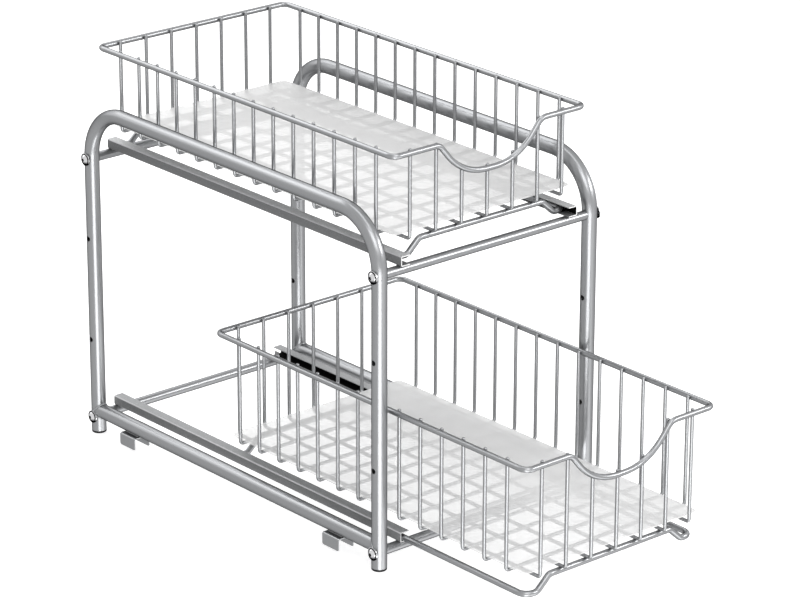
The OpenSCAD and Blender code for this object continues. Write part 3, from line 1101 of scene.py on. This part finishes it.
@dataclass
class Studio:
    """White sweep, soft lamps and the camera, set round the middle of the tube frame.

    Angles are in degrees. Heights are from the floor, and the other places from that middle.
    """

    middle_y: float
    lamps: tuple[SoftBox, ...] = LAMPS
    target_y: float = -0.1
    target_z: float = 0.2
    camera_azimuth: float = 40.7261
    camera_drop: float = 20.7637
    camera_roll: float = 0.1525
    camera_place: tuple[float, float, float] = (-2241.19 * MM, -2699.85 * MM, 1504.69 * MM)
    focal_length_px: float = 3809.3
    image_width_px: int = 800
    sensor_width: float = 36.0
    clip: Pair = (0.1, 50.0)
    floor_size: float = 8.0
    floor_grey: float = 0.8
    floor_lift: float = 0.70
    ambient: float = 0.29

    def build_camera(self) -> None:
        """Sets the camera in front of the frame, to the left and above."""
        camera = bpy.data.cameras.new("camera")
        camera.sensor_width = self.sensor_width
        camera.lens = self.focal_length_px / self.image_width_px * self.sensor_width
        camera.clip_start, camera.clip_end = self.clip
        holder = bpy.data.objects.new("camera", camera)
        x, y, z = self.camera_place
        place = Matrix.Translation((x, y + self.middle_y, z))
        azimuth = Matrix.Rotation(-math.radians(self.camera_azimuth), 4, "Z")
        drop = Matrix.Rotation(math.radians(90 - self.camera_drop), 4, "X")
        roll = Matrix.Rotation(math.radians(self.camera_roll), 4, "Z")
        holder.matrix_world = place @ azimuth @ drop @ roll
        bpy.context.scene.collection.objects.link(holder)
        bpy.context.scene.camera = holder

    def build_world(self) -> None:
        """Makes a sky that is white to the camera and in reflections, and softer as light."""
        world = bpy.data.worlds.new("studio")
        world.use_nodes = True
        bpy.context.scene.world = world
        tree = world.node_tree
        tree.nodes.clear()
        shown = shown_rays(tree, (-2, 0))[1]
        strength = add_node(tree, "ShaderNodeMapRange", (1, 0),
                            {"Value": shown, "To Min": self.ambient, "To Max": 1.0})
        sky = add_node(tree, "ShaderNodeBackground", (2, 0),
                       {"Color": WHITE, "Strength": strength.outputs["Result"]})
        add_node(tree, "ShaderNodeOutputWorld", (3, 0), {"Surface": sky.outputs["Background"]})

    def build_floor(self) -> None:
        """Lays a white floor that shows the object's soft shadow.

        Mirrored rays and lamp light pass through it, so the low lamps can stand beneath.
        """
        half = self.floor_size / 2
        mesh = bpy.data.meshes.new("floor")
        corners = [(-half, -half, 0.0), (half, -half, 0.0), (half, half, 0.0), (-half, half, 0.0)]
        mesh.from_pydata(corners, [], [(0, 1, 2, 3)])
        floor = bpy.data.objects.new("floor", mesh)
        bpy.context.scene.collection.objects.link(floor)
        material, tree, shader = new_material("floor_paper")
        rays, shown = shown_rays(tree, (-1, -2))
        lift = maths(tree, "MULTIPLY", (2, -2), shown, self.floor_lift)
        feed(tree, shader, {
            "Base Color": opaque((self.floor_grey,) * 3), "Roughness": 1.0,
            "Specular IOR Level": 0.0, "Emission Color": WHITE, "Emission Strength": lift})
        through = maths(tree, "MAXIMUM", (2, 2), rays.outputs["Is Glossy Ray"],
                        rays.outputs["Is Shadow Ray"])
        clear = add_node(tree, "ShaderNodeBsdfTransparent", (3, 2))
        surface = add_node(tree, "ShaderNodeMixShader", (4, 1), {
            "Fac": through, 1: shader.outputs["BSDF"], 2: clear.outputs["BSDF"]})
        feed(tree, tree.nodes["Material Output"], {"Surface": surface.outputs["Shader"]})
        mesh.materials.append(material)

    def build(self) -> None:
        """Builds the whole studio."""
        self.build_camera()
        self.build_world()
        self.build_floor()
        target = Vector((0.0, self.middle_y + self.target_y, self.target_z))
        for lamp in self.lamps:
            lamp.build(target)
        bpy.context.scene.view_settings.view_transform = "Standard"


# ---------- the whole object ----------


def main() -> None:
    """Builds the sub-assemblies and the studio in order."""
    logging.basicConfig(level=logging.INFO, format="%(name)s: %(message)s")
    smooth = smooth_tree()
    beads = bead_tree()
    nuggets = nugget_tree()
    coat = SILVER_COAT.material()

    tubes = TubeFrame(coat, BRIGHT_ZINC, BLACK_MOULDING.material())
    tubes.dress(smooth)
    tubes.build(beads)

    rails = SlideRails({"upper": UPPER_RAIL_COAT, "lower": LOWER_RAIL_COAT}, coat)
    rails.dress(smooth)
    rails.build(beads)

    for body, liner in (("upper_basket", UPPER_LINER), ("lower_basket", LOWER_LINER)):
        basket = WireBasket(body, coat, liner.material())
        basket.dress(smooth)
        basket.build(nuggets)

    tube_low, tube_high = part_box("left_side_tube")
    Studio((tube_low.y + tube_high.y) / 2).build()


if __name__ == "__main__":
    main()
